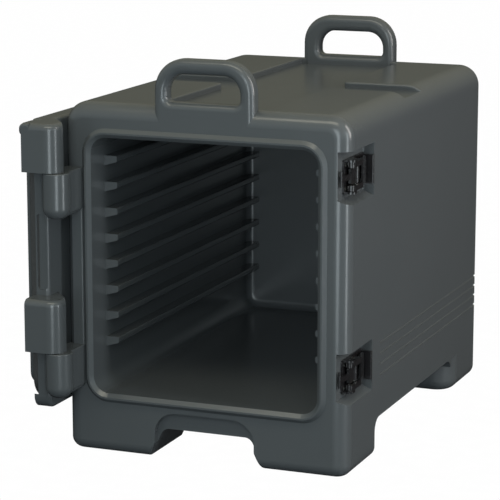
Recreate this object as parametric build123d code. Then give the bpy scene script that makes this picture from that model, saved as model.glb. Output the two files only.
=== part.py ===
from build123d import *
import os

# Insulated food carrier: a front-loading, double-walled pan carrier with a lift-off door that folds flat
# against the left side, two draw latches in recesses on the right, and moulded handles, rails and feet.
#
# Cabinet frame, millimetres: X to the right, Y from the front face towards the back, Z up from the floor,
# with the cabinet centred on X = 0 and its front face on Y = 0. The door and its fittings are modelled
# closed and then folded back. At the very end everything moves to the row frame (see ROW_ORIGIN).

# ---------------------------------------------------------------- driving dimensions
WIDTH = 439.0
DEPTH = 654.0
HEIGHT = 520.0
SIDE_TOP_RADIUS = 33.0
CORNER_RADIUS = 22.0
SKIN = 5.0

OPENING_HALF = 175.0
OPENING_BOTTOM = 91.5
OPENING_TOP = 471.0
OPENING_RADIUS = 24.0
BACK_WALL = 44.0

RIM_WIDTH = 13.5
RIM_HEIGHT = 6.0
RIM_BEVEL = 5.4

RAIL_COUNT = 8
RAIL_PITCH = 38.8
LOWEST_RAIL_TOP = 165.4
RAIL_REACH = 20.0
RAIL_ROOT = 15.0
RAIL_TIP = 9.0
RAIL_FRONT = 45.0

APRON_BOTTOM = 43.5
SKIRT_BOTTOM = 58.0
SKIRT_CORNER = 20.0
APRON_CORNER = 14.0
FRONT_FOOT_LENGTH = 124.0
REAR_FOOT_FACE = 506.0
REAR_FOOT_CORNER = 34.0
FOOT_INNER_BOTTOM = 89.0
FOOT_INNER_TOP = 68.0
FOOT_EDGE_RADIUS = 17.0
FOOT_INNER_RADIUS = 2.5
ARCH_HALF = 78.0
ARCH_TOP = 71.0
ARCH_RADIUS = 34.0
ARCH_DEPTH = 12.0

PAD_INNER = 84.0
PAD_RISE = 9.0
CROSS_FRONT = 279.0
CROSS_BACK = 357.0
PAD_CORNER = 8.0
PAD_EDGE = 3.0
CHANNEL_END = 27.0

HANDLES = {"front": (-76.0, 77.0, 589.0, -56.5), "back": (-83.0, 75.0, 592.0, -55.0)}
HANDLE_THICK = 28.0
HANDLE_OUTER_RADIUS = 46.0
GRIP_RIGHT = 55.0
GRIP_BOTTOM = 527.0
GRIP_TOP = 567.0
GRIP_RADIUS = 26.0
GRIP_LOW_RADIUS = 7.0
HANDLE_ROUND = 9.6

GROOVE_COUNT = 4
GROOVE_TOP = 169.5
GROOVE_PITCH = 16.2
GROOVE_WIDTH = 5.0
GROOVE_START = 146.0

HINGE_X = -202.0
HINGE_Y = -58.0
BARREL_RADIUS = 20.0
BARREL_DOME = 16.0
WEB_DOME = 11.0
KNUCKLE_TOP_EDGE = 1.5
WEB_LEFT = -216.0
WEB_RIGHT = -188.5
BODY_KNUCKLES = {"lower": (95.5, 162.5), "upper": (359.0, 426.0)}
DOOR_KNUCKLE_TOPS = {"lower": 241.0, "upper": 497.0}
KNUCKLE_GAP = 1.0
LEAF_LEFT = -207.0
LEAF_RIGHT = -188.5
LEAF_HEIGHT = 3.0
PIN_RADIUS = 5.0
PIN_IN_BODY = 42.0
PIN_IN_DOOR = 48.0
RUNNING = 0.05
BUSH_RADIUS = 7.5
BUSH_FLANGE = 10.5

DOOR_LEFT = -187.5
DOOR_RIGHT = 203.5
DOOR_BOTTOM = 70.0
DOOR_TOP = 497.0
DOOR_OUTER = -35.5
DOOR_INNER = -15.5
LIP_TIP = -9.0
LIP_INNER_RIGHT = 190.0
LIP_INNER_BOTTOM = 77.0
LIP_INNER_TOP = 486.0
PLUG_HALF = 168.0
PLUG_BOTTOM = 98.5
PLUG_TOP = 464.0
PLUG_DEPTH = 25.5
GASKET_CENTRE = OPENING_HALF + RIM_WIDTH / 2
GASKET_HALF = 3.5
GASKET_GROOVE = 5.0
GASKET_PROUD = 9.1

VENT_X = 0.0
VENT_Z = 415.0
VENT_POCKET_RADIUS = 23.0
VENT_POCKET_DEPTH = 9.0
VENT_BORE = 4.0

RECESS_DEPTH = 17.0
RECESS_BACK = 108.0
RECESS_HALF = 38.0
RECESS_CORNER = 2.5
LEDGE_RISE = 7.5
LATCH_HEIGHTS = {"lower": 145.0, "upper": 432.5}

FOAM_TOP_COVER = 20.0
FOOT_FOAM_FLOOR = 8.0
BOSS_DEPTH = 14.0
BACK_PLUGS = [(-70.0, 190.0), (70.0, 190.0)]
PLUG_BOSS_RADIUS = 20.0
PLUG_BOSS_LENGTH = 12.0
FILL_HOLE_RADIUS = 13.0
FILL_PLUG_LIP = 16.0
FILL_PLUG_HEAD = 2.0

KNUCKLE_LEFT = -222.0
KNUCKLE_FRONT = -67.0
KNUCKLE_BACK = -13.0
KNUCKLE_RADIUS = 19.0
KNUCKLE_TOP_RADIUS = 9.0
BEAD_HEIGHT = 18.0
BEAD_RADIUS = 7.5
GUSSET_START = -196.0
GUSSET_END = -158.0
BUSH_LENGTH = 14.0
DOOR_CORNER = 18.0
DOOR_EDGE_RADIUS = 6.0
LIP_CORNER = 21.0
LIP_STEP = 1.0
PLUG_EDGE_RADIUS = 8.0
EDGE_INSET_DEPTH = 2.5
DOOR_PLUG_X = 40.0
DOOR_MIDDLE_Y = -27.2
DOOR_PLUG_LENGTH = 18.5
DOOR_FILL_RADIUS = 5.5

VENT_STEM_RADIUS = 6.0
VENT_STEM_DEPTH = 7.0
VENT_CAP_RADIUS = 18.0
VENT_CAP_THICK = 2.5
VENT_SEAL_THICK = 1.5
SEAT_GAP = 0.1

BASE_THICK = 2.5
BASE_FRONT = 20.0
BASE_BACK = 105.0
BASE_HALF = 24.0
EAR_THICK = 3.0
PIVOT_X = 211.5
PIVOT_Y = 33.0
PIVOT_EAR_RADIUS = 9.0
LEVER_NOSE_RADIUS = 5.6
LEVER_HALF = 20.6
CHEEK_THICK = 3.4
LEVER_OUTER = 217.5
LEVER_PLATE = 3.5
LEVER_END = 98.0
LEVER_TUCK = 6.5
LEVER_SLOT_END = 67.0
HOOK_PIN_X = 210.0
HOOK_PIN_Y = 57.0
HOOK_PIN_RADIUS = 2.0
HOOK_EYE_RADIUS = 4.5
HOOK_HALF = 11.5
HOOK_NECK_HALF = 4.0
HOOK_NECK_BACK = 31.0
HOOK_HEAD_BACK = 7.5
HOOK_HEAD_FRONT = 2.0
HOOK_HEAD_X = 206.6
HOOK_THICK = 4.0
STUB_RADIUS = 2.5
FLANGE_FRONT = 100.0
FLANGE_HALF = 21.0
FLANGE_PROUD = 1.5
BASE_SCREWS = [(27.0, -17.0), (27.0, 17.0), (92.0, -15.0), (92.0, 15.0)]
INSERT_RADIUS = 3.2
INSERT_LENGTH = 9.0
SCREW_RADIUS = 2.0
SCREW_HEAD_RADIUS = 3.6
SCREW_HEAD = 1.6

KEEPER_PLATE = 3.0
KEEPER_FRONT = -33.0
KEEPER_BACK = -11.0
KEEPER_HALF = 18.0
KEEPER_ARM_INNER = 12.6
KEEPER_ARM_OUTER = 16.0
KEEPER_OUTER_X = 213.0
KEEPER_CLAW_X = 209.2
KEEPER_CLAW_FRONT = 8.3
KEEPER_CLAW_BACK = 14.0
KEEPER_SLOT_HALF = 5.2
KEEPER_SCREWS = (-8.0, 8.0)
KEEPER_SCREW_Y = -21.0

OUTER_X = WIDTH / 2
RECESS_FLOOR = OUTER_X - RECESS_DEPTH
MIDDLE_Y = DEPTH / 2
NOSE_INNER = 13.2

# The row's origin is on the floor, under the middle of the whole object's plan box with its door folded back.
STORED_LEFT = HINGE_X + HINGE_Y - KEEPER_CLAW_BACK
STORED_RIGHT = OUTER_X + FLANGE_PROUD
STORED_FRONT = HINGE_Y - BARREL_RADIUS
ROW_ORIGIN = ((STORED_LEFT + STORED_RIGHT) / 2, (STORED_FRONT + DEPTH) / 2, 0)


# ---------------------------------------------------------------- small helpers
def block(x0, x1, y0, y1, z0, z1):
    """Box between two corners."""
    centre = Pos((x0 + x1) / 2, (y0 + y1) / 2, (z0 + z1) / 2)
    return centre * Box(x1 - x0, y1 - y0, z1 - z0)


def upright(radius, x, y, z0, z1):
    """Cylinder along Z."""
    return Pos(x, y, (z0 + z1) / 2) * Cylinder(radius, z1 - z0)


def lying_x(radius, x0, x1, y, z):
    """Cylinder along X."""
    return Pos((x0 + x1) / 2, y, z) * Rot(0, 90, 0) * Cylinder(radius, x1 - x0)


def lying_y(radius, x, y0, y1, z):
    """Cylinder along Y."""
    return Pos(x, (y0 + y1) / 2, z) * Rot(90, 0, 0) * Cylinder(radius, y1 - y0)


def upright_panel(half_width, z0, z1, radius, y0, y1, x=0.0):
    """Rounded rectangle in the XZ plane, as thick as y0 to y1."""
    face = Plane(origin=(x, y0, (z0 + z1) / 2), x_dir=(1, 0, 0), z_dir=(0, 1, 0))
    return extrude(face * RectangleRounded(2 * half_width, z1 - z0, radius), y1 - y0)


def plan(points, z0, z1):
    """Prism on a plan outline (x, y)."""
    return extrude(Pos(0, 0, z0) * make_face(Polyline(*points, close=True)), z1 - z0)


def at_y(shape, y):
    """Edges of a shape that lie in the plane of that Y."""
    return shape.edges().filter_by(lambda e: abs(e.bounding_box().min.Y - y) < 1e-3
                                   and abs(e.bounding_box().max.Y - y) < 1e-3)


def at_z(shape, z):
    """Edges of a shape that lie in the plane of that Z."""
    return shape.edges().filter_by(lambda e: abs(e.bounding_box().min.Z - z) < 1e-3
                                   and abs(e.bounding_box().max.Z - z) < 1e-3)


def at_x(shape, x):
    """Edges of a shape that lie in the plane of that X."""
    return shape.edges().filter_by(lambda e: abs(e.bounding_box().min.X - x) < 1e-3
                                   and abs(e.bounding_box().max.X - x) < 1e-3)


# ---------------------------------------------------------------- cabinet
def outer_body():
    """Rounded box with its four feet, arches, top pads and side grooves."""
    body = block(-OUTER_X, OUTER_X, 0, DEPTH, 0, HEIGHT)
    body = fillet(body.edges().filter_by(Axis.Y).group_by(Axis.Z)[-1], SIDE_TOP_RADIUS)
    ends = [e for y in (0, DEPTH) for e in at_y(body, y) if e.bounding_box().max.Z > 1]
    body = fillet(ends, CORNER_RADIUS)
    body -= foot_channels()
    body = round_feet(body)
    body = soften_pads(body - top_channels())
    for face_y, inward in ((0, 1), (DEPTH, -1)):
        body -= upright_panel(ARCH_HALF, -80, ARCH_TOP, ARCH_RADIUS, face_y, face_y + inward * ARCH_DEPTH)
    for side in (-1, 1):
        for index in range(GROOVE_COUNT):
            body -= side_groove(side, GROOVE_TOP - index * GROOVE_PITCH)
    return body


def round_feet(body):
    """Large radius round the outside of each foot's base, and a small one on its sides towards the channels."""
    outside = [e for e in at_z(body, 0) if abs(e.center().X) > OUTER_X - 12 or not 8 < e.center().Y < DEPTH - 8]
    body = fillet(outside, FOOT_EDGE_RADIUS)
    inside = [e for e in at_z(body, 0) if e.length > 40 and abs(abs(e.center().X) - FOOT_INNER_BOTTOM) < 1]
    return fillet(inside, FOOT_INNER_RADIUS)


def top_channels():
    """Sunk cross between the four stacking pads."""
    low = HEIGHT - PAD_RISE
    along = block(-PAD_INNER, PAD_INNER, CHANNEL_END, DEPTH - CHANNEL_END, low, HEIGHT + 1)
    across = block(-OUTER_X - 1, OUTER_X + 1, CROSS_FRONT, CROSS_BACK, low, HEIGHT + 1)
    return along + across


def soften_pads(body):
    """Round the four inner corners of the pads, and then the pads' top edges along the channels."""
    corners = [e for e in body.edges().filter_by(Axis.Z)
               if abs(abs(e.center().X) - PAD_INNER) < 0.5 and CROSS_FRONT - 1 < e.center().Y < CROSS_BACK + 1]
    body = fillet(corners, PAD_CORNER)
    rims = [e for e in body.edges() if abs(e.center().Z - HEIGHT) < 0.1 and abs(e.center().X) <= OUTER_X - SIDE_TOP_RADIUS
            and CHANNEL_END - 5 <= e.center().Y <= DEPTH - CHANNEL_END + 5
            and abs(e.center().X) < OUTER_X - SIDE_TOP_RADIUS - 0.5]
    return fillet(rims, PAD_EDGE)


def side_groove(side, z):
    """One horizontal groove that runs along a side, round the back corner and off the back face."""
    length = DEPTH - GROOVE_START
    corner = CORNER_RADIUS
    path_x = side * OUTER_X
    bar = lying_y(GROOVE_WIDTH / 2, path_x, GROOVE_START, DEPTH - corner, z)
    bend_centre = Pos(path_x - side * corner, DEPTH - corner, z)
    bend = bend_centre * Torus(corner, GROOVE_WIDTH / 2)
    quarter = block(min(path_x - side * corner, path_x + side * 9), max(path_x - side * corner, path_x + side * 9),
                    DEPTH - corner, DEPTH + 9, z - GROOVE_WIDTH, z + GROOVE_WIDTH)
    ball = Pos(path_x, GROOVE_START, z) * Sphere(GROOVE_WIDTH / 2)
    return bar + (bend & quarter) + ball


def foot_channels():
    """Spaces between the feet: a high one from side to side and a lower one from front to back."""
    side_face = Plane(origin=(-OUTER_X - 1, (FRONT_FOOT_LENGTH + REAR_FOOT_FACE) / 2, 0), x_dir=(0, 1, 0), z_dir=(1, 0, 0))
    span = REAR_FOOT_FACE - FRONT_FOOT_LENGTH
    across = extrude(side_face * RectangleRounded(span, 2 * SKIRT_BOTTOM, SKIRT_CORNER), WIDTH + 2)
    for side in (-1, 1):
        inner, outer = side * (OUTER_X - REAR_FOOT_CORNER), side * (OUTER_X + 1)
        far = REAR_FOOT_FACE + REAR_FOOT_CORNER
        corner = block(min(inner, outer), max(inner, outer), REAR_FOOT_FACE - 1, far, -1, SKIRT_BOTTOM)
        across += corner - upright(REAR_FOOT_CORNER, inner, far, -2, SKIRT_BOTTOM + 1)
    half_top, half_bottom = FOOT_INNER_TOP, FOOT_INNER_BOTTOM + (FOOT_INNER_BOTTOM - FOOT_INNER_TOP)
    front_face = Plane(origin=(0, -1, 0), x_dir=(1, 0, 0), z_dir=(0, -1, 0))
    outline = Polyline((-half_top, APRON_BOTTOM), (half_top, APRON_BOTTOM), (half_bottom, -APRON_BOTTOM),
                       (-half_bottom, -APRON_BOTTOM), close=True)
    profile = make_face(outline)
    profile = fillet(profile.vertices().group_by(Axis.Y)[-1], APRON_CORNER)
    along = extrude(front_face * profile, -(DEPTH + 2))
    return across + along


def handle(name):
    """Moulded D-shaped handle whose outer face is flush with an end of the cabinet."""
    left, right, top, grip_left = HANDLES[name]
    face_y, far_y = (0, HANDLE_THICK) if name == "front" else (DEPTH, DEPTH - HANDLE_THICK)
    low, high = min(face_y, far_y), max(face_y, far_y)
    loop = upright_panel((right - left) / 2, HEIGHT - 2 * HANDLE_OUTER_RADIUS, top, HANDLE_OUTER_RADIUS, low, high,
                         (left + right) / 2)
    loop &= block(-OUTER_X, OUTER_X, -1, DEPTH + 1, HEIGHT - 40, top + 1)
    grip = upright_panel((GRIP_RIGHT - grip_left) / 2, GRIP_BOTTOM - 2 * GRIP_RADIUS, GRIP_TOP, GRIP_RADIUS,
                         low - 1, high + 1, (grip_left + GRIP_RIGHT) / 2)
    grip &= block(-OUTER_X, OUTER_X, low - 2, high + 2, GRIP_BOTTOM, GRIP_TOP)
    grip = fillet(at_z(grip, GRIP_BOTTOM).filter_by(Axis.Y), GRIP_LOW_RADIUS)
    loop -= grip
    rounded = [e for y in (face_y, far_y) for e in at_y(loop, y) if e.bounding_box().max.Z > HEIGHT]
    return fillet(rounded, HANDLE_ROUND)


def opening_prism(grow, y0, y1):
    """The opening's rounded outline, grown outwards all round."""
    return upright_panel(OPENING_HALF + grow, OPENING_BOTTOM - grow, OPENING_TOP + grow,
                         OPENING_RADIUS + grow, y0, y1)


def cavity():
    """Straight-walled food compartment with a softly rounded back."""
    space = opening_prism(0, -RIM_HEIGHT - 1, DEPTH - BACK_WALL)
    return fillet(at_y(space, DEPTH - BACK_WALL), 12)


def rim():
    """Raised sealing rim round the opening, bevelled on both flanks."""
    ring = opening_prism(RIM_WIDTH, -RIM_HEIGHT, 2) - opening_prism(0, -RIM_HEIGHT - 1, 3)
    return chamfer(at_y(ring, -RIM_HEIGHT), RIM_BEVEL)


def rail(side, top):
    """One tray rail: flat on top, sloping underneath, from near the front to the back wall."""
    wall = side * (OPENING_HALF + 1)
    tip = side * (OPENING_HALF - RAIL_REACH)
    face = Plane(origin=(0, RAIL_FRONT, 0), x_dir=(1, 0, 0), z_dir=(0, -1, 0))
    outline = Polyline((wall, top), (tip, top), (tip, top - RAIL_TIP), (wall, top - RAIL_ROOT), close=True)
    bar = extrude(face * make_face(outline), -(DEPTH - BACK_WALL + 1 - RAIL_FRONT))
    long_edges = bar.edges().filter_by(Axis.Y)
    tip_edges = [e for e in long_edges if abs(e.center().X - tip) < 0.01]
    return fillet(tip_edges, 2.5)


def rail_tops():
    return [LOWEST_RAIL_TOP + index * RAIL_PITCH for index in range(RAIL_COUNT)]


def body_knuckle(z0, z1):
    """Round-bottomed barrel on a web that stands out of the front face beside the rim."""
    barrel = upright(BARREL_RADIUS, HINGE_X, HINGE_Y, z0, z1)
    barrel = fillet(at_z(barrel, z0), BARREL_DOME)
    barrel = fillet(at_z(barrel, z1), KNUCKLE_TOP_EDGE)
    web = block(WEB_LEFT, WEB_RIGHT, HINGE_Y, 3, z0, z1)
    web = fillet(web.edges().filter_by(Axis.Y).group_by(Axis.Z)[0], WEB_DOME)
    web = fillet(web.edges().filter_by(Axis.Y).group_by(Axis.Z)[-1], KNUCKLE_TOP_EDGE)
    bore = upright(PIN_RADIUS, HINGE_X, HINGE_Y, z1 - PIN_IN_BODY, z1 + 1)
    return barrel + web - bore


def hinge_leaf():
    """Low raised strip that joins the two knuckles' webs along the edge of the front face."""
    strip = block(LEAF_LEFT, LEAF_RIGHT, -LEAF_HEIGHT, 2, BODY_KNUCKLES["lower"][1] - 1, BODY_KNUCKLES["upper"][0] + 12)
    return fillet(at_y(strip, -LEAF_HEIGHT).filter_by(Axis.Z), LEAF_HEIGHT - 0.5)


def latch_recess(z):
    """Notch in the right front corner, open to the front and to the side, with a ledge that sheds water."""
    top, bottom, lead = z + RECESS_HALF, z - RECESS_HALF, 5
    fall = LEDGE_RISE / RECESS_DEPTH * lead
    face = Plane(origin=(0, -lead, 0), x_dir=(1, 0, 0), z_dir=(0, -1, 0))
    outline = Polyline((RECESS_FLOOR, top), (OUTER_X + lead, top), (OUTER_X + lead, bottom - fall),
                       (RECESS_FLOOR, bottom + LEDGE_RISE), close=True)
    notch = extrude(face * make_face(outline), -(RECESS_BACK + lead))
    return fillet(notch.edges().filter_by(Axis.Z).group_by(Axis.X)[0].sort_by(Axis.Y)[-1:], RECESS_CORNER)


def foam_space():
    """Room for the insulation between the liner and the outer skin."""
    space = block(-OUTER_X + SKIN, OUTER_X - SKIN, SKIN, DEPTH - SKIN, SKIRT_BOTTOM + SKIN, HEIGHT - FOAM_TOP_COVER)
    space = fillet(space.edges().filter_by(Axis.Z), CORNER_RADIUS - SKIN)
    space -= opening_prism(SKIN, -1, DEPTH - BACK_WALL + SKIN)
    for z in LATCH_HEIGHTS.values():
        space -= block(RECESS_FLOOR - BOSS_DEPTH, OUTER_X, 0, RECESS_BACK + SKIN,
                       z - RECESS_HALF - SKIN, z + RECESS_HALF + SKIN)
    for x, z in BACK_PLUGS:
        space -= lying_y(PLUG_BOSS_RADIUS, x, DEPTH - SKIN - PLUG_BOSS_LENGTH, DEPTH, z)
    for near, far in ((0, ARCH_DEPTH + SKIN), (DEPTH - ARCH_DEPTH - SKIN, DEPTH)):
        space -= block(-ARCH_HALF - SKIN, ARCH_HALF + SKIN, near, far, 0, ARCH_TOP + SKIN)
    for side in (-1, 1):
        for y0, y1, corner in ((SKIN, FRONT_FOOT_LENGTH - SKIN, CORNER_RADIUS), (REAR_FOOT_FACE + SKIN, DEPTH - SKIN, REAR_FOOT_CORNER)):
            inner, outer = side * (FOOT_INNER_BOTTOM + SKIN), side * (OUTER_X - SKIN)
            leg = block(min(inner, outer), max(inner, outer), y0, y1, FOOT_FOAM_FLOOR, SKIRT_BOTTOM + 2 * SKIN)
            space += fillet(leg.edges().filter_by(Axis.Z), corner - SKIN)
    return space


def plug_hole(x, z):
    """Foam-filling hole with a counterbore for the plug's head."""
    bore = lying_y(FILL_HOLE_RADIUS, x, DEPTH - SKIN - PLUG_BOSS_LENGTH - 1, DEPTH + 1, z)
    return bore + lying_y(FILL_PLUG_LIP, x, DEPTH - FILL_PLUG_HEAD, DEPTH + 1, z)


def cabinet_shell():
    shell = outer_body() + rim()
    for name in HANDLES:
        shell += handle(name)
    for z0, z1 in BODY_KNUCKLES.values():
        shell += body_knuckle(z0, z1)
    shell += hinge_leaf()
    shell -= cavity()
    for side in (-1, 1):
        for top in rail_tops():
            shell += rail(side, top)
    for z in LATCH_HEIGHTS.values():
        shell -= latch_recess(z)
        for y, dz in BASE_SCREWS:
            shell -= lying_x(INSERT_RADIUS, RECESS_FLOOR - INSERT_LENGTH, RECESS_FLOOR + 1, y, z + dz)
    shell -= foam_space()
    for x, z in BACK_PLUGS:
        shell -= plug_hole(x, z)
    return shell


# ---------------------------------------------------------------- door, modelled closed
def door_knuckle(z0, z1):
    """Hinge block on the door's left edge, with a gusset on the outer face."""
    outline = [(DOOR_LEFT, KNUCKLE_BACK), (KNUCKLE_LEFT, KNUCKLE_BACK), (KNUCKLE_LEFT, KNUCKLE_FRONT),
               (GUSSET_START, KNUCKLE_FRONT), (GUSSET_END, DOOR_OUTER), (GUSSET_END, DOOR_INNER - 8),
               (DOOR_LEFT, DOOR_INNER - 8)]
    knuckle = plan(outline, z0, z1)
    corner = [e for e in knuckle.edges().filter_by(Axis.Z)
              if abs(e.center().X - KNUCKLE_LEFT) < 0.01 and abs(e.center().Y - KNUCKLE_FRONT) < 0.01]
    knuckle = fillet(corner, KNUCKLE_RADIUS)
    top = [e for e in at_z(knuckle, z1) if e.center().X < GUSSET_START + 1 and e.center().Y < KNUCKLE_BACK + 1
           and e.bounding_box().max.X < GUSSET_START + 1]
    return fillet(top, KNUCKLE_TOP_RADIUS)


def door_knuckle_bore(z0):
    seat = upright(BUSH_RADIUS, HINGE_X, HINGE_Y, z0 - 1, z0 + BUSH_LENGTH)
    return seat + upright(PIN_RADIUS + RUNNING, HINGE_X, HINGE_Y, z0, z0 + PIN_IN_DOOR + 3)


def door_panel():
    """Door slab with its lips, its plug, its knuckles and its edge details."""
    middle_x = (DOOR_LEFT + DOOR_RIGHT) / 2
    half = (DOOR_RIGHT - DOOR_LEFT) / 2
    slab = upright_panel(half, DOOR_BOTTOM, DOOR_TOP, DOOR_CORNER, DOOR_OUTER, LIP_TIP, middle_x)
    slab = fillet(at_y(slab, DOOR_OUTER), DOOR_EDGE_RADIUS)
    hollow_right, hollow_left = LIP_INNER_RIGHT, DOOR_LEFT - LIP_STEP
    hollow = upright_panel((hollow_right - hollow_left) / 2, LIP_INNER_BOTTOM, LIP_INNER_TOP, LIP_CORNER,
                           DOOR_INNER, 1, (hollow_right + hollow_left) / 2)
    slab -= hollow
    plug = upright_panel(PLUG_HALF, PLUG_BOTTOM, PLUG_TOP, OPENING_RADIUS - 4, DOOR_INNER - 1, DOOR_INNER + PLUG_DEPTH)
    plug = fillet(at_y(plug, DOOR_INNER + PLUG_DEPTH), PLUG_EDGE_RADIUS)
    inset = upright_panel(PLUG_HALF - 32, PLUG_BOTTOM + 32, PLUG_TOP - 32, 18,
                          DOOR_INNER + PLUG_DEPTH - 3, DOOR_INNER + PLUG_DEPTH + 1)
    slab += plug
    slab -= chamfer(at_y(inset, DOOR_INNER + PLUG_DEPTH - 3), 2.5)
    return slab


def door_shell():
    shell = door_panel()
    for name, top in DOOR_KNUCKLE_TOPS.items():
        z0 = BODY_KNUCKLES[name][1] + KNUCKLE_GAP
        shell += door_knuckle(z0, top)
    shell += knuckle_lip()
    for name in DOOR_KNUCKLE_TOPS:
        shell -= door_knuckle_bore(BODY_KNUCKLES[name][1] + KNUCKLE_GAP)
    shell -= gasket_ring(GASKET_HALF, DOOR_INNER - GASKET_GROOVE, DOOR_INNER + 1)
    shell -= edge_inset()
    shell -= door_foam_space()
    shell -= vent_pocket()
    for z in LATCH_HEIGHTS.values():
        for dz in KEEPER_SCREWS:
            shell -= lying_x(INSERT_RADIUS, DOOR_RIGHT - INSERT_LENGTH, DOOR_RIGHT + 1, KEEPER_SCREW_Y, z + dz)
    shell -= upright(DOOR_FILL_RADIUS, DOOR_PLUG_X, DOOR_MIDDLE_Y, DOOR_BOTTOM - 1, DOOR_BOTTOM + DOOR_PLUG_LENGTH)
    return shell


def knuckle_lip():
    """Short bead that carries the top lip over the upper knuckle."""
    bead = block(KNUCKLE_LEFT, DOOR_LEFT + 6, KNUCKLE_BACK - 12, LIP_TIP, DOOR_TOP - BEAD_HEIGHT, DOOR_TOP)
    bead = fillet(bead.edges().filter_by(Axis.X).group_by(Axis.Y)[-1], BEAD_RADIUS)
    return fillet(bead.edges().group_by(Axis.X)[0].filter_by(lambda e: e.center().Y > KNUCKLE_BACK - 11), 4)


def edge_inset():
    """Shallow panel let into the hinge edge between the two knuckles."""
    z0 = DOOR_KNUCKLE_TOPS["lower"] + 8
    z1 = BODY_KNUCKLES["upper"][0] + 2
    middle = (DOOR_OUTER + DOOR_INNER) / 2
    inset = block(DOOR_LEFT - 1, DOOR_LEFT + EDGE_INSET_DEPTH, middle - 7.5, middle + 7.5, z0, z1)
    return fillet(inset.edges().filter_by(Axis.X), 5)


def gasket_ring(half_width, y0, y1):
    """Rounded frame that follows the crest of the sealing rim."""
    centre = RIM_WIDTH / 2
    return opening_prism(centre + half_width, y0, y1) - opening_prism(centre - half_width, y0 - 1, y1 + 1)


def door_gasket():
    """Soft seal: a rib that presses on the rim, with its base in the door's groove."""
    ring = gasket_ring(GASKET_HALF, DOOR_INNER - GASKET_GROOVE, DOOR_INNER + GASKET_PROUD)
    return fillet(at_y(ring, DOOR_INNER + GASKET_PROUD), 1.5)


def door_foam_space():
    behind_groove = DOOR_INNER - GASKET_GROOVE - 3
    slab = block(DOOR_LEFT + 8, DOOR_RIGHT - 16, DOOR_OUTER + 4, behind_groove, DOOR_BOTTOM + 18, DOOR_TOP - 9)
    plug = block(-PLUG_HALF + 7, PLUG_HALF - 7, behind_groove - 1, DOOR_INNER + PLUG_DEPTH - 8,
                 PLUG_BOTTOM + 7, PLUG_TOP - 7)
    pocket = lying_y(VENT_POCKET_RADIUS + 4, VENT_X, DOOR_OUTER, DOOR_OUTER + VENT_POCKET_DEPTH + 4, VENT_Z)
    passage = lying_y(VENT_BORE + 4, VENT_X, DOOR_OUTER, DOOR_INNER + PLUG_DEPTH, VENT_Z)
    space = slab + plug - pocket - passage
    return space


def vent_pocket():
    pocket = lying_y(VENT_POCKET_RADIUS, VENT_X, DOOR_OUTER - 1, DOOR_OUTER + VENT_POCKET_DEPTH, VENT_Z)
    stem = lying_y(VENT_STEM_RADIUS + RUNNING, VENT_X, DOOR_OUTER, DOOR_OUTER + VENT_POCKET_DEPTH + VENT_STEM_DEPTH, VENT_Z)
    return pocket + stem + lying_y(VENT_BORE, VENT_X, DOOR_OUTER, DOOR_INNER + PLUG_DEPTH + 1, VENT_Z)


def vent_cap():
    """Recessed quarter-turn cap with a finger bar, on a short stem."""
    seat_y = DOOR_OUTER + VENT_POCKET_DEPTH
    disc = lying_y(VENT_CAP_RADIUS, VENT_X, seat_y - VENT_SEAL_THICK - VENT_CAP_THICK, seat_y - VENT_SEAL_THICK, VENT_Z)
    disc = fillet(at_y(disc, seat_y - VENT_SEAL_THICK - VENT_CAP_THICK), 1)
    bar = block(VENT_X - VENT_CAP_RADIUS + 2, VENT_X + VENT_CAP_RADIUS - 2, DOOR_OUTER + 0.5,
                seat_y - VENT_SEAL_THICK - 1, VENT_Z - 3, VENT_Z + 3)
    bar = fillet(bar.edges().filter_by(Axis.Y), 2.5)
    stem = lying_y(VENT_STEM_RADIUS, VENT_X, seat_y - VENT_SEAL_THICK - 1, seat_y + VENT_STEM_DEPTH - 1, VENT_Z)
    return disc + bar + stem


def vent_seal():
    seat_y = DOOR_OUTER + VENT_POCKET_DEPTH
    ring = lying_y(VENT_CAP_RADIUS - 2, VENT_X, seat_y - VENT_SEAL_THICK, seat_y - SEAT_GAP, VENT_Z)
    return ring - lying_y(VENT_STEM_RADIUS + 0.6, VENT_X, seat_y - 5, seat_y + 1, VENT_Z)


# ---------------------------------------------------------------- hinge hardware
def hinge_pin(name):
    top = BODY_KNUCKLES[name][1]
    pin = upright(PIN_RADIUS, HINGE_X, HINGE_Y, top - PIN_IN_BODY, top + PIN_IN_DOOR)
    return chamfer(at_z(pin, top + PIN_IN_DOOR), 1.5)


def hinge_bush(name):
    """Flanged sleeve pressed into the door knuckle; its flange carries the door's weight."""
    z0 = BODY_KNUCKLES[name][1] + KNUCKLE_GAP
    bush = upright(BUSH_RADIUS, HINGE_X, HINGE_Y, z0, z0 + BUSH_LENGTH)
    bush += upright(BUSH_FLANGE, HINGE_X, HINGE_Y, z0 - KNUCKLE_GAP + SEAT_GAP, z0)
    return bush - upright(PIN_RADIUS + RUNNING, HINGE_X, HINGE_Y, z0 - 5, z0 + BUSH_LENGTH + 1)


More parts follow.
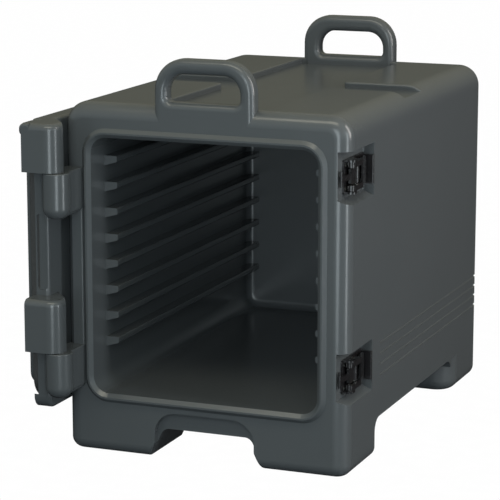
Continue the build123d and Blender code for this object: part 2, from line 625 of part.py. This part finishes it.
# ---------------------------------------------------------------- draw latches
def latch_base(z):
    """Mounting plate with two pivot ears and an upstanding flange at its rear end."""
    plate = block(RECESS_FLOOR, RECESS_FLOOR + BASE_THICK, BASE_FRONT, BASE_BACK, z - BASE_HALF, z + BASE_HALF)
    plate = fillet(plate.edges().filter_by(Axis.X), 3)
    for side in (-1, 1):
        inner = z + side * (BASE_HALF - EAR_THICK)
        outer = z + side * BASE_HALF
        low, high = min(inner, outer), max(inner, outer)
        ear = upright(PIVOT_EAR_RADIUS, PIVOT_X, PIVOT_Y, low, high)
        ear = ear & block(RECESS_FLOOR, OUTER_X - 1, 0, 90, low, high)
        foot = block(RECESS_FLOOR, PIVOT_X - 2, PIVOT_Y - PIVOT_EAR_RADIUS, PIVOT_Y + 22, low, high)
        plate += ear + foot
        plate -= upright(STUB_RADIUS, PIVOT_X, PIVOT_Y, low - 1, high + 1)
    flange = block(RECESS_FLOOR, OUTER_X + FLANGE_PROUD, FLANGE_FRONT, BASE_BACK, z - FLANGE_HALF, z + FLANGE_HALF)
    plate += fillet(flange.edges().group_by(Axis.X)[-1], 1.2)
    for y, dz in BASE_SCREWS:
        plate -= screw_solid(RECESS_FLOOR + BASE_THICK, y, z + dz)
    return plate


def lever(z):
    """Channel-shaped lever: two cheeks with rolled noses, a frame round the hook and a finger plate that tucks in."""
    low, high = z - LEVER_HALF, z + LEVER_HALF
    nose = upright(LEVER_NOSE_RADIUS, PIVOT_X, PIVOT_Y, low, high)
    inner_x = PIVOT_X - LEVER_NOSE_RADIUS
    arm = block(inner_x, LEVER_OUTER, PIVOT_Y, LEVER_SLOT_END, low, high)
    clear = LEVER_HALF - CHEEK_THICK
    arm -= block(RECESS_FLOOR, LEVER_OUTER - LEVER_PLATE, 0, LEVER_SLOT_END + 1, z - clear, z + clear)
    near_x, far_x = LEVER_OUTER - LEVER_PLATE, LEVER_OUTER - LEVER_PLATE - LEVER_TUCK
    plate = plan([(near_x, LEVER_SLOT_END - 1), (LEVER_OUTER, LEVER_SLOT_END - 1), (LEVER_OUTER, LEVER_SLOT_END),
                  (LEVER_OUTER - LEVER_TUCK, LEVER_END), (far_x, LEVER_END)], low, high)
    slot = HOOK_HALF + 1.1
    solid = nose + arm + plate
    solid -= block(RECESS_FLOOR, LEVER_OUTER + 1, 0, LEVER_SLOT_END, z - slot, z + slot)
    envelope = block(RECESS_FLOOR, LEVER_OUTER + 2, 0, LEVER_END, low, high)
    solid &= fillet(envelope.edges().filter_by(Axis.X).group_by(Axis.Y)[-1], 5)
    solid -= upright(STUB_RADIUS + RUNNING, PIVOT_X, PIVOT_Y, low - 1, high + 1)
    return solid - upright(HOOK_PIN_RADIUS, HOOK_PIN_X, HOOK_PIN_Y, low - 1, high + 1)


def hook(z):
    """T-headed draw hook with an eye at the back, its head set in towards the recess floor."""
    half = HOOK_THICK / 2
    eye = upright(HOOK_EYE_RADIUS, HOOK_PIN_X, HOOK_PIN_Y, z - HOOK_HALF, z + HOOK_HALF)
    shank = block(HOOK_PIN_X - half, HOOK_PIN_X + half, HOOK_NECK_BACK, HOOK_PIN_Y, z - HOOK_HALF, z + HOOK_HALF)
    shank = fillet(shank.edges().filter_by(Axis.X).group_by(Axis.Y)[0], 2)
    neck = plan([(HOOK_PIN_X - half, HOOK_NECK_BACK + 3), (HOOK_PIN_X + half, HOOK_NECK_BACK + 3),
                 (HOOK_HEAD_X + half, HOOK_HEAD_BACK - 2), (HOOK_HEAD_X - half, HOOK_HEAD_BACK - 2)],
                z - HOOK_NECK_HALF, z + HOOK_NECK_HALF)
    head = block(HOOK_HEAD_X - half, HOOK_HEAD_X + half, HOOK_HEAD_FRONT, HOOK_HEAD_BACK, z - HOOK_HALF, z + HOOK_HALF)
    head = fillet(head.edges().filter_by(Axis.Z), 1.5)
    solid = eye + shank + neck + head
    return solid - upright(HOOK_PIN_RADIUS + RUNNING, HOOK_PIN_X, HOOK_PIN_Y, z - 20, z + 20)


def hook_pin(z):
    return upright(HOOK_PIN_RADIUS, HOOK_PIN_X, HOOK_PIN_Y, z - LEVER_HALF, z + LEVER_HALF)


def pivot_stubs(z):
    """Two short pins, pressed into the base's ears, on which the lever's cheeks turn."""
    inner = HOOK_HALF + 2
    stubs = [upright(STUB_RADIUS, PIVOT_X, PIVOT_Y, z + inner, z + BASE_HALF),
             upright(STUB_RADIUS, PIVOT_X, PIVOT_Y, z - BASE_HALF, z - inner)]
    return Compound(stubs)


def screw_solid(surface_x, y, z):
    """Countersunk screw driven towards -X, with its head flush with the surface."""
    head = Pos(surface_x - SCREW_HEAD / 2, y, z) * Rot(0, 90, 0) * Cone(SCREW_RADIUS, SCREW_HEAD_RADIUS, SCREW_HEAD)
    return head + lying_x(SCREW_RADIUS, surface_x - INSERT_LENGTH - BASE_THICK, surface_x, y, z)


def driven_screw(surface_x, y, z):
    """The same screw with a hexagon socket in its head."""
    socket_plane = Plane(origin=(surface_x - 1.1, y, z), x_dir=(0, 1, 0), z_dir=(1, 0, 0))
    socket = extrude(socket_plane * RegularPolygon(1.5, 6), 2)
    return screw_solid(surface_x, y, z) - socket


def insert(face_x, y, z):
    """Knurled metal insert moulded into the wall behind a screw."""
    sleeve = lying_x(INSERT_RADIUS, face_x - INSERT_LENGTH, face_x, y, z)
    return sleeve - lying_x(SCREW_RADIUS, face_x - INSERT_LENGTH - 1, face_x + 1, y, z)


# ---------------------------------------------------------------- keepers on the door's free edge
def keeper(z):
    """Edge plate with two arms whose claws the hook's head pulls on."""
    plate = block(DOOR_RIGHT, DOOR_RIGHT + KEEPER_PLATE, KEEPER_FRONT, KEEPER_BACK, z - KEEPER_HALF, z + KEEPER_HALF)
    plate = fillet(plate.edges().filter_by(Axis.X), 3)
    for side in (-1, 1):
        inner, outer = z + side * KEEPER_ARM_INNER, z + side * KEEPER_ARM_OUTER
        arm = block(DOOR_RIGHT + 2, KEEPER_OUTER_X, KEEPER_BACK - 14, KEEPER_CLAW_BACK,
                    min(inner, outer), max(inner, outer))
        arm -= block(KEEPER_OUTER_X - 6, KEEPER_OUTER_X + 1, -60, KEEPER_BACK - 8, z - 30, z + 30)
        near = z + side * KEEPER_SLOT_HALF
        claw = block(KEEPER_CLAW_X, KEEPER_OUTER_X, KEEPER_CLAW_FRONT, KEEPER_CLAW_BACK,
                     min(near, outer), max(near, outer))
        plate += arm + claw
    for dz in KEEPER_SCREWS:
        plate -= screw_solid(DOOR_RIGHT + KEEPER_PLATE, KEEPER_SCREW_Y, z + dz)
    return plate


# ---------------------------------------------------------------- plugs of the foam-filling holes
def fill_plug(x, z):
    """Press-in plug whose head lies flush in the back face."""
    stem = lying_y(FILL_HOLE_RADIUS, x, DEPTH - PLUG_BOSS_LENGTH, DEPTH - FILL_PLUG_HEAD, z)
    head = lying_y(FILL_PLUG_LIP, x, DEPTH - FILL_PLUG_HEAD, DEPTH, z)
    dimple = lying_y(FILL_PLUG_LIP - 5, x, DEPTH - 0.8, DEPTH + 1, z)
    return stem + fillet(at_y(head, DEPTH), 0.8) - dimple


def door_fill_plug():
    return upright(DOOR_FILL_RADIUS, DOOR_PLUG_X, DOOR_MIDDLE_Y, DOOR_BOTTOM, DOOR_BOTTOM + DOOR_PLUG_LENGTH - 2)


# ---------------------------------------------------------------- assembly and export
def folded_back(shape):
    """Swing a part of the closed door through three quarter turns, flat against the left side."""
    axis_place = Pos(HINGE_X, HINGE_Y, 0)
    return axis_place * Rot(0, 0, -270) * axis_place.inverse() * shape


def cabinet_parts():
    parts = {"cabinet_shell": cabinet_shell(), "cabinet_foam": foam_space()}
    parts["fill_plugs"] = Compound([fill_plug(x, z) for x, z in BACK_PLUGS])
    screws, inserts = [], []
    for name, z in LATCH_HEIGHTS.items():
        parts[f"latch_base_{name}"] = latch_base(z)
        parts[f"latch_pivots_{name}"] = pivot_stubs(z)
        parts[f"latch_lever_{name}"] = lever(z)
        parts[f"hook_pin_{name}"] = hook_pin(z)
        parts[f"latch_hook_{name}"] = hook(z)
        for y, dz in BASE_SCREWS:
            screws.append(driven_screw(RECESS_FLOOR + BASE_THICK, y, z + dz))
            inserts.append(insert(RECESS_FLOOR, y, z + dz))
    for name in BODY_KNUCKLES:
        parts[f"hinge_pin_{name}"] = hinge_pin(name)
    parts["latch_screws"] = Compound(screws)
    parts["latch_inserts"] = Compound(inserts)
    return parts


def door_parts():
    parts = {"door_shell": door_shell(), "door_foam": door_foam_space(), "door_gasket": door_gasket(),
             "vent_cap": vent_cap(), "vent_seal": vent_seal(), "door_fill_plug": door_fill_plug()}
    screws, inserts = [], []
    for name, z in LATCH_HEIGHTS.items():
        parts[f"keeper_{name}"] = keeper(z)
        parts[f"hinge_bush_{name}"] = hinge_bush(name)
        for dz in KEEPER_SCREWS:
            screws.append(driven_screw(DOOR_RIGHT + KEEPER_PLATE, KEEPER_SCREW_Y, z + dz))
            inserts.append(insert(DOOR_RIGHT, KEEPER_SCREW_Y, z + dz))
    parts["keeper_screws"] = Compound(screws)
    parts["keeper_inserts"] = Compound(inserts)
    return {name: folded_back(shape) for name, shape in parts.items()}


to_row = Pos(*ROW_ORIGIN).inverse()
os.makedirs("parts", exist_ok=True)
for node, shape in {**cabinet_parts(), **door_parts()}.items():
    export_step(to_row * shape, f"parts/{node}.step")
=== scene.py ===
import math

import bpy
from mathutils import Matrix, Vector

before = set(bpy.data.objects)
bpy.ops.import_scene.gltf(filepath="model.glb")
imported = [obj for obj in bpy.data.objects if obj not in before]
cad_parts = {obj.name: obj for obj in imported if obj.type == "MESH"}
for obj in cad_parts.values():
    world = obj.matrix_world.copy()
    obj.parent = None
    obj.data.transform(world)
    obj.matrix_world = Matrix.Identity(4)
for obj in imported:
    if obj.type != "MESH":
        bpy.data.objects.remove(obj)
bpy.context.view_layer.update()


# ---------------------------------------------------------------- node helpers
def new_material(name, base, roughness, **sockets):
    """Principled material whose fixed numbers are set straight on the shader's own sockets."""
    material = bpy.data.materials.new(name)
    material.use_nodes = True
    shader = material.node_tree.nodes["Principled BSDF"]
    shader.inputs["Base Color"].default_value = (*base, 1)
    shader.inputs["Roughness"].default_value = roughness
    for key, value in sockets.items():
        shader.inputs[key.replace("_", " ")].default_value = value
    return material, shader


def new_node(owner, kind, **sockets):
    """Node in a material's or world's tree, with fixed numbers on its input sockets."""
    node = owner.node_tree.nodes.new(kind)
    for key, value in sockets.items():
        node.inputs[key.replace("_", " ")].default_value = value
    return node


def link(owner, source, target):
    owner.node_tree.links.new(source, target)


def noise(material, scale, detail=3.0, roughness=0.5, stretch=(1, 1, 1)):
    """Noise in object space, in metres, optionally stretched."""
    place = new_node(material, "ShaderNodeTexCoord")
    mapping = new_node(material, "ShaderNodeMapping", Scale=stretch)
    texture = new_node(material, "ShaderNodeTexNoise", Scale=scale, Detail=detail, Roughness=roughness)
    link(material, place.outputs["Object"], mapping.inputs["Vector"])
    link(material, mapping.outputs["Vector"], texture.inputs["Vector"])
    return texture.outputs["Fac"]


def ramp(owner, value, stops):
    """Colour ramp through (position, colour) stops."""
    node = new_node(owner, "ShaderNodeValToRGB")
    elements = node.color_ramp.elements
    while len(elements) < len(stops):
        elements.new(0.5)
    for element, (position, colour) in zip(elements, stops):
        element.position = position
        element.color = (*colour, 1)
    link(owner, value, node.inputs["Fac"])
    return node.outputs["Color"]


def spread(owner, value, low, high, start=0.3, end=0.7):
    """Map the values from start to end onto the range from low to high."""
    node = new_node(owner, "ShaderNodeMapRange", From_Min=start, From_Max=end, To_Min=low, To_Max=high)
    link(owner, value, node.inputs["Value"])
    return node.outputs["Result"]


def bump(material, shader, heights):
    """Chain of bumps from (value, strength, distance in metres)."""
    normal = None
    for value, strength, distance in heights:
        node = new_node(material, "ShaderNodeBump", Strength=strength, Distance=distance)
        link(material, value, node.inputs["Height"])
        if normal is not None:
            link(material, normal, node.inputs["Normal"])
        normal = node.outputs["Normal"]
    link(material, normal, shader.inputs["Normal"])


def tinted(colour, factor):
    return tuple(channel * factor for channel in colour)


# ---------------------------------------------------------------- materials
def polyethylene(name):
    """Dark slate moulded polyethylene: satin, with a faint orange peel and soft mottling."""
    material, shader = new_material(name, (0.05, 0.054, 0.056), 0.26, IOR=1.42, Specular_IOR_Level=0.5)
    mottle = noise(material, 9.0, 4.0, 0.6)
    colour = ramp(material, mottle, [(0.25, (0.0475, 0.052, 0.0545)), (0.75, (0.0505, 0.055, 0.0575))])
    link(material, colour, shader.inputs["Base Color"])
    wear = noise(material, 30.0, 5.0, 0.6)
    link(material, spread(material, wear, 0.21, 0.25), shader.inputs["Roughness"])
    orange_peel = (noise(material, 420.0, 2.0), 0.05, 0.0004)
    grain = (noise(material, 1500.0, 2.0), 0.08, 0.0001)
    bump(material, shader, [orange_peel, grain])
    return material


def nylon(name, tint, roughness):
    """Moulded nylon with a cloudy tint and a fine grain."""
    material, shader = new_material(name, tint, roughness, IOR=1.53)
    cloud = noise(material, 120.0, 3.0)
    colour = ramp(material, cloud, [(0.3, tinted(tint, 0.8)), (0.7, tinted(tint, 1.5))])
    link(material, colour, shader.inputs["Base Color"])
    wear = noise(material, 260.0, 4.0)
    link(material, spread(material, wear, roughness * 0.8, roughness * 1.4), shader.inputs["Roughness"])
    bump(material, shader, [(noise(material, 900.0, 2.0), 0.08, 0.0001)])
    return material


def metal(name, tint, roughness, stretch):
    """Ground or drawn metal, with its grain stretched along the piece."""
    material, shader = new_material(name, tint, roughness, Metallic=1.0)
    grain = noise(material, 700.0, 4.0, 0.6, stretch)
    link(material, ramp(material, grain, [(0.3, tinted(tint, 0.75)), (0.7, tint)]), shader.inputs["Base Color"])
    link(material, spread(material, grain, roughness * 0.75, roughness * 1.3), shader.inputs["Roughness"])
    bump(material, shader, [(grain, 0.2, 0.00005)])
    return material


def soft(name, dark, light, roughness, scale, depth):
    """Rubber, foam or acetal: a matt body with its own grain, depth metres deep."""
    material, shader = new_material(name, dark, roughness)
    grain = noise(material, scale, 5.0, 0.65)
    link(material, ramp(material, grain, [(0.3, dark), (0.7, light)]), shader.inputs["Base Color"])
    rough = spread(material, grain, roughness * 0.85, min(1.0, roughness * 1.15))
    link(material, rough, shader.inputs["Roughness"])
    bump(material, shader, [(grain, 0.3, depth)])
    return material


SLATE = polyethylene("slate_polyethylene")
# black nylon, its tint pushed darker than the nylon's own black as painted shade for the deep latch recess
LATCH = nylon("black_nylon_painted_shade", (0.006, 0.0055, 0.006), 0.20)
PLUG = nylon("plug_plastic", (0.03, 0.034, 0.036), 0.4)
STEEL = metal("pin_steel", (0.60, 0.60, 0.58), 0.25, (1, 1, 0.05))
SCREW = metal("screw_steel", (0.55, 0.55, 0.53), 0.30, (0.2, 1, 1))
BRASS = metal("insert_brass", (0.72, 0.52, 0.22), 0.3, (1, 0.2, 1))
RUBBER = soft("gasket_rubber", (0.012, 0.012, 0.012), (0.03, 0.03, 0.03), 0.65, 300.0, 0.0001)
FOAM = soft("cream_foam", (0.55, 0.46, 0.26), (0.75, 0.66, 0.42), 0.9, 600.0, 0.0006)
ACETAL = soft("dark_acetal", (0.022, 0.022, 0.022), (0.030, 0.030, 0.030), 0.4, 200.0, 0.00005)

# the start of a node's name and its material; the longest start that fits wins
FINISHES = {
    "cabinet_shell": SLATE, "door_shell": SLATE,
    "cabinet_foam": FOAM, "door_foam": FOAM,
    "fill_plugs": PLUG, "door_fill_plug": PLUG,
    "door_gasket": RUBBER, "vent_seal": RUBBER,
    "hinge_bush": ACETAL,
    "hinge_pin": STEEL, "hook_pin": STEEL, "latch_pivots": STEEL,
    "vent_cap": LATCH, "latch_base": LATCH, "latch_lever": LATCH, "latch_hook": LATCH,
    "keeper_lower": LATCH, "keeper_upper": LATCH,
    "latch_screws": SCREW, "keeper_screws": SCREW,
    "latch_inserts": BRASS, "keeper_inserts": BRASS,
}


def finish_nodes():
    for name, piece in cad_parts.items():
        start = max((key for key in FINISHES if name.startswith(key)), key=len)
        piece.data.materials.clear()
        piece.data.materials.append(FINISHES[start])


# ---------------------------------------------------------------- stage, light and camera
FLOOR_SIZE = 70.0       # metres, wide enough to fill the picture from any side
FLOOR_DROP = 0.0005     # metres below the feet, so the two don't share a plane

# colours of the room from straight down (0) through the horizon (0.5) to straight up (1)
SKY_FRONT = [
    (0.0, (0.03, 0.035, 0.04)),
    (0.36, (0.10, 0.115, 0.125)),
    (0.54, (0.54, 0.64, 0.68)),
    (0.68, (0.85, 0.93, 0.93)),
    (1.0, (0.72, 0.71, 0.56)),
]
SKY_BACK = [
    (0.0, (0.02, 0.02, 0.02)),
    (0.48, (0.03, 0.03, 0.03)),
    (0.6, (0.15, 0.15, 0.115)),
    (1.0, (0.72, 0.70, 0.52)),
]
SKY_TURN = (0.42, 0.72)     # where the front's colours give way to the back's, from 0 (front) to 1 (back)

# name, place, point aimed at, width and height, watts, colour, seen by diffuse rays, seen by glossy rays
LAMPS = [
    ("overhead", (0.1, -1.2, 2.4), (0, 0, 0.4), (1.8, 0.6), 18, (1.0, 0.95, 0.78), True, True),
    ("side_strip", (1.80, 0.25, 1.10), (0.1, 0.1, 0.55), (0.30, 1.5), 24, (1.0, 0.94, 0.90), True, True),
    ("front_strip", (0.53, -1.66, 0.60), (0, 0, 0.45), (0.26, 1.3), 16, (0.86, 0.96, 1.0), True, False),
    ("corner_strip", (1.65, -0.50, 0.55), (0, 0, 0.40), (0.12, 1.1), 14.5, (0.92, 0.97, 1.0), True, False),
    ("back_fill", (-0.60, 2.80, 0.70), (0, 0, 0.30), (1.5, 1.0), 22, (1.0, 1.0, 0.95), True, False),
    ("front_glint", (0.53, -1.66, 0.50), (0, 0, 0.50), (0.50, 1.3), 11, (0.86, 0.96, 1.0), False, True),
    ("corner_glint", (1.65, -0.50, 0.42), (0, 0, 0.42), (0.30, 1.2), 9, (0.90, 0.97, 1.0), False, True),
]

CAMERA_PLACE = (1.2595, -3.1837, 0.9666)
CAMERA_DOWN = 11.65     # degrees below the horizon
CAMERA_LEFT = 21.84     # degrees left of straight back
CAMERA_LENS = 162.3     # mm, on a sensor 36 mm wide


def stage_floor():
    """Pure white floor that the camera sees and that neither lights nor shades the object."""
    bpy.ops.mesh.primitive_plane_add(size=FLOOR_SIZE, location=(0, 0, -FLOOR_DROP))
    floor = bpy.context.object
    floor.name = "floor"
    material, shader = new_material("white_floor", (0.0, 0.0, 0.0), 1.0,
                                    Specular_IOR_Level=0.0, Emission_Strength=1.0)
    white = ramp(material, noise(material, 30.0), [(0.3, (0.990, 0.990, 0.990)), (0.7, (1.0, 1.0, 1.0))])
    link(material, white, shader.inputs["Emission Color"])
    floor.data.materials.append(material)
    floor.visible_diffuse = False
    floor.visible_glossy = False
    floor.visible_shadow = False


def area_light(name, place, aim, size, power, colour, diffuse, glossy):
    data = bpy.data.lights.new(name, "AREA")
    data.shape = "RECTANGLE"
    data.size, data.size_y = size
    data.energy = power
    data.color = colour
    lamp = bpy.data.objects.new(name, data)
    lamp.location = place
    lamp.rotation_euler = (Vector(aim) - Vector(place)).to_track_quat("-Z", "Y").to_euler()
    lamp.visible_diffuse = diffuse
    lamp.visible_glossy = glossy
    bpy.context.collection.objects.link(lamp)


def studio_world():
    """Soft room light: cool in front, dark low down behind, and warm overhead."""
    world = bpy.data.worlds.new("studio")
    world.use_nodes = True
    background = world.node_tree.nodes["Background"]
    place = new_node(world, "ShaderNodeTexCoord")
    parts = new_node(world, "ShaderNodeSeparateXYZ")
    link(world, place.outputs["Generated"], parts.inputs["Vector"])
    up, back = (spread(world, parts.outputs[axis], 0.0, 1.0, -1.0, 1.0) for axis in ("Z", "Y"))
    mix = new_node(world, "ShaderNodeMix")
    mix.data_type = "RGBA"
    factor, first, second = mix.inputs[0], mix.inputs[6], mix.inputs[7]
    link(world, spread(world, back, 0.0, 1.0, *SKY_TURN), factor)
    link(world, ramp(world, up, SKY_FRONT), first)
    link(world, ramp(world, up, SKY_BACK), second)
    link(world, mix.outputs[2], background.inputs["Color"])
    background.inputs["Strength"].default_value = 1.0
    bpy.context.scene.world = world


def light_scene():
    """Broad lamps shade the plastic; two glints only show as streaks on its rounded corners."""
    studio_world()
    for lamp in LAMPS:
        area_light(*lamp)


def place_camera():
    data = bpy.data.cameras.new("camera")
    data.sensor_width = 36.0
    data.lens = CAMERA_LENS
    data.clip_end = 100
    camera = bpy.data.objects.new("camera", data)
    camera.location = CAMERA_PLACE
    camera.rotation_euler = (math.radians(90 - CAMERA_DOWN), 0, math.radians(CAMERA_LEFT))
    bpy.context.collection.objects.link(camera)
    bpy.context.scene.camera = camera


finish_nodes()
stage_floor()
light_scene()
place_camera()
bpy.context.scene.view_settings.view_transform = "Standard"
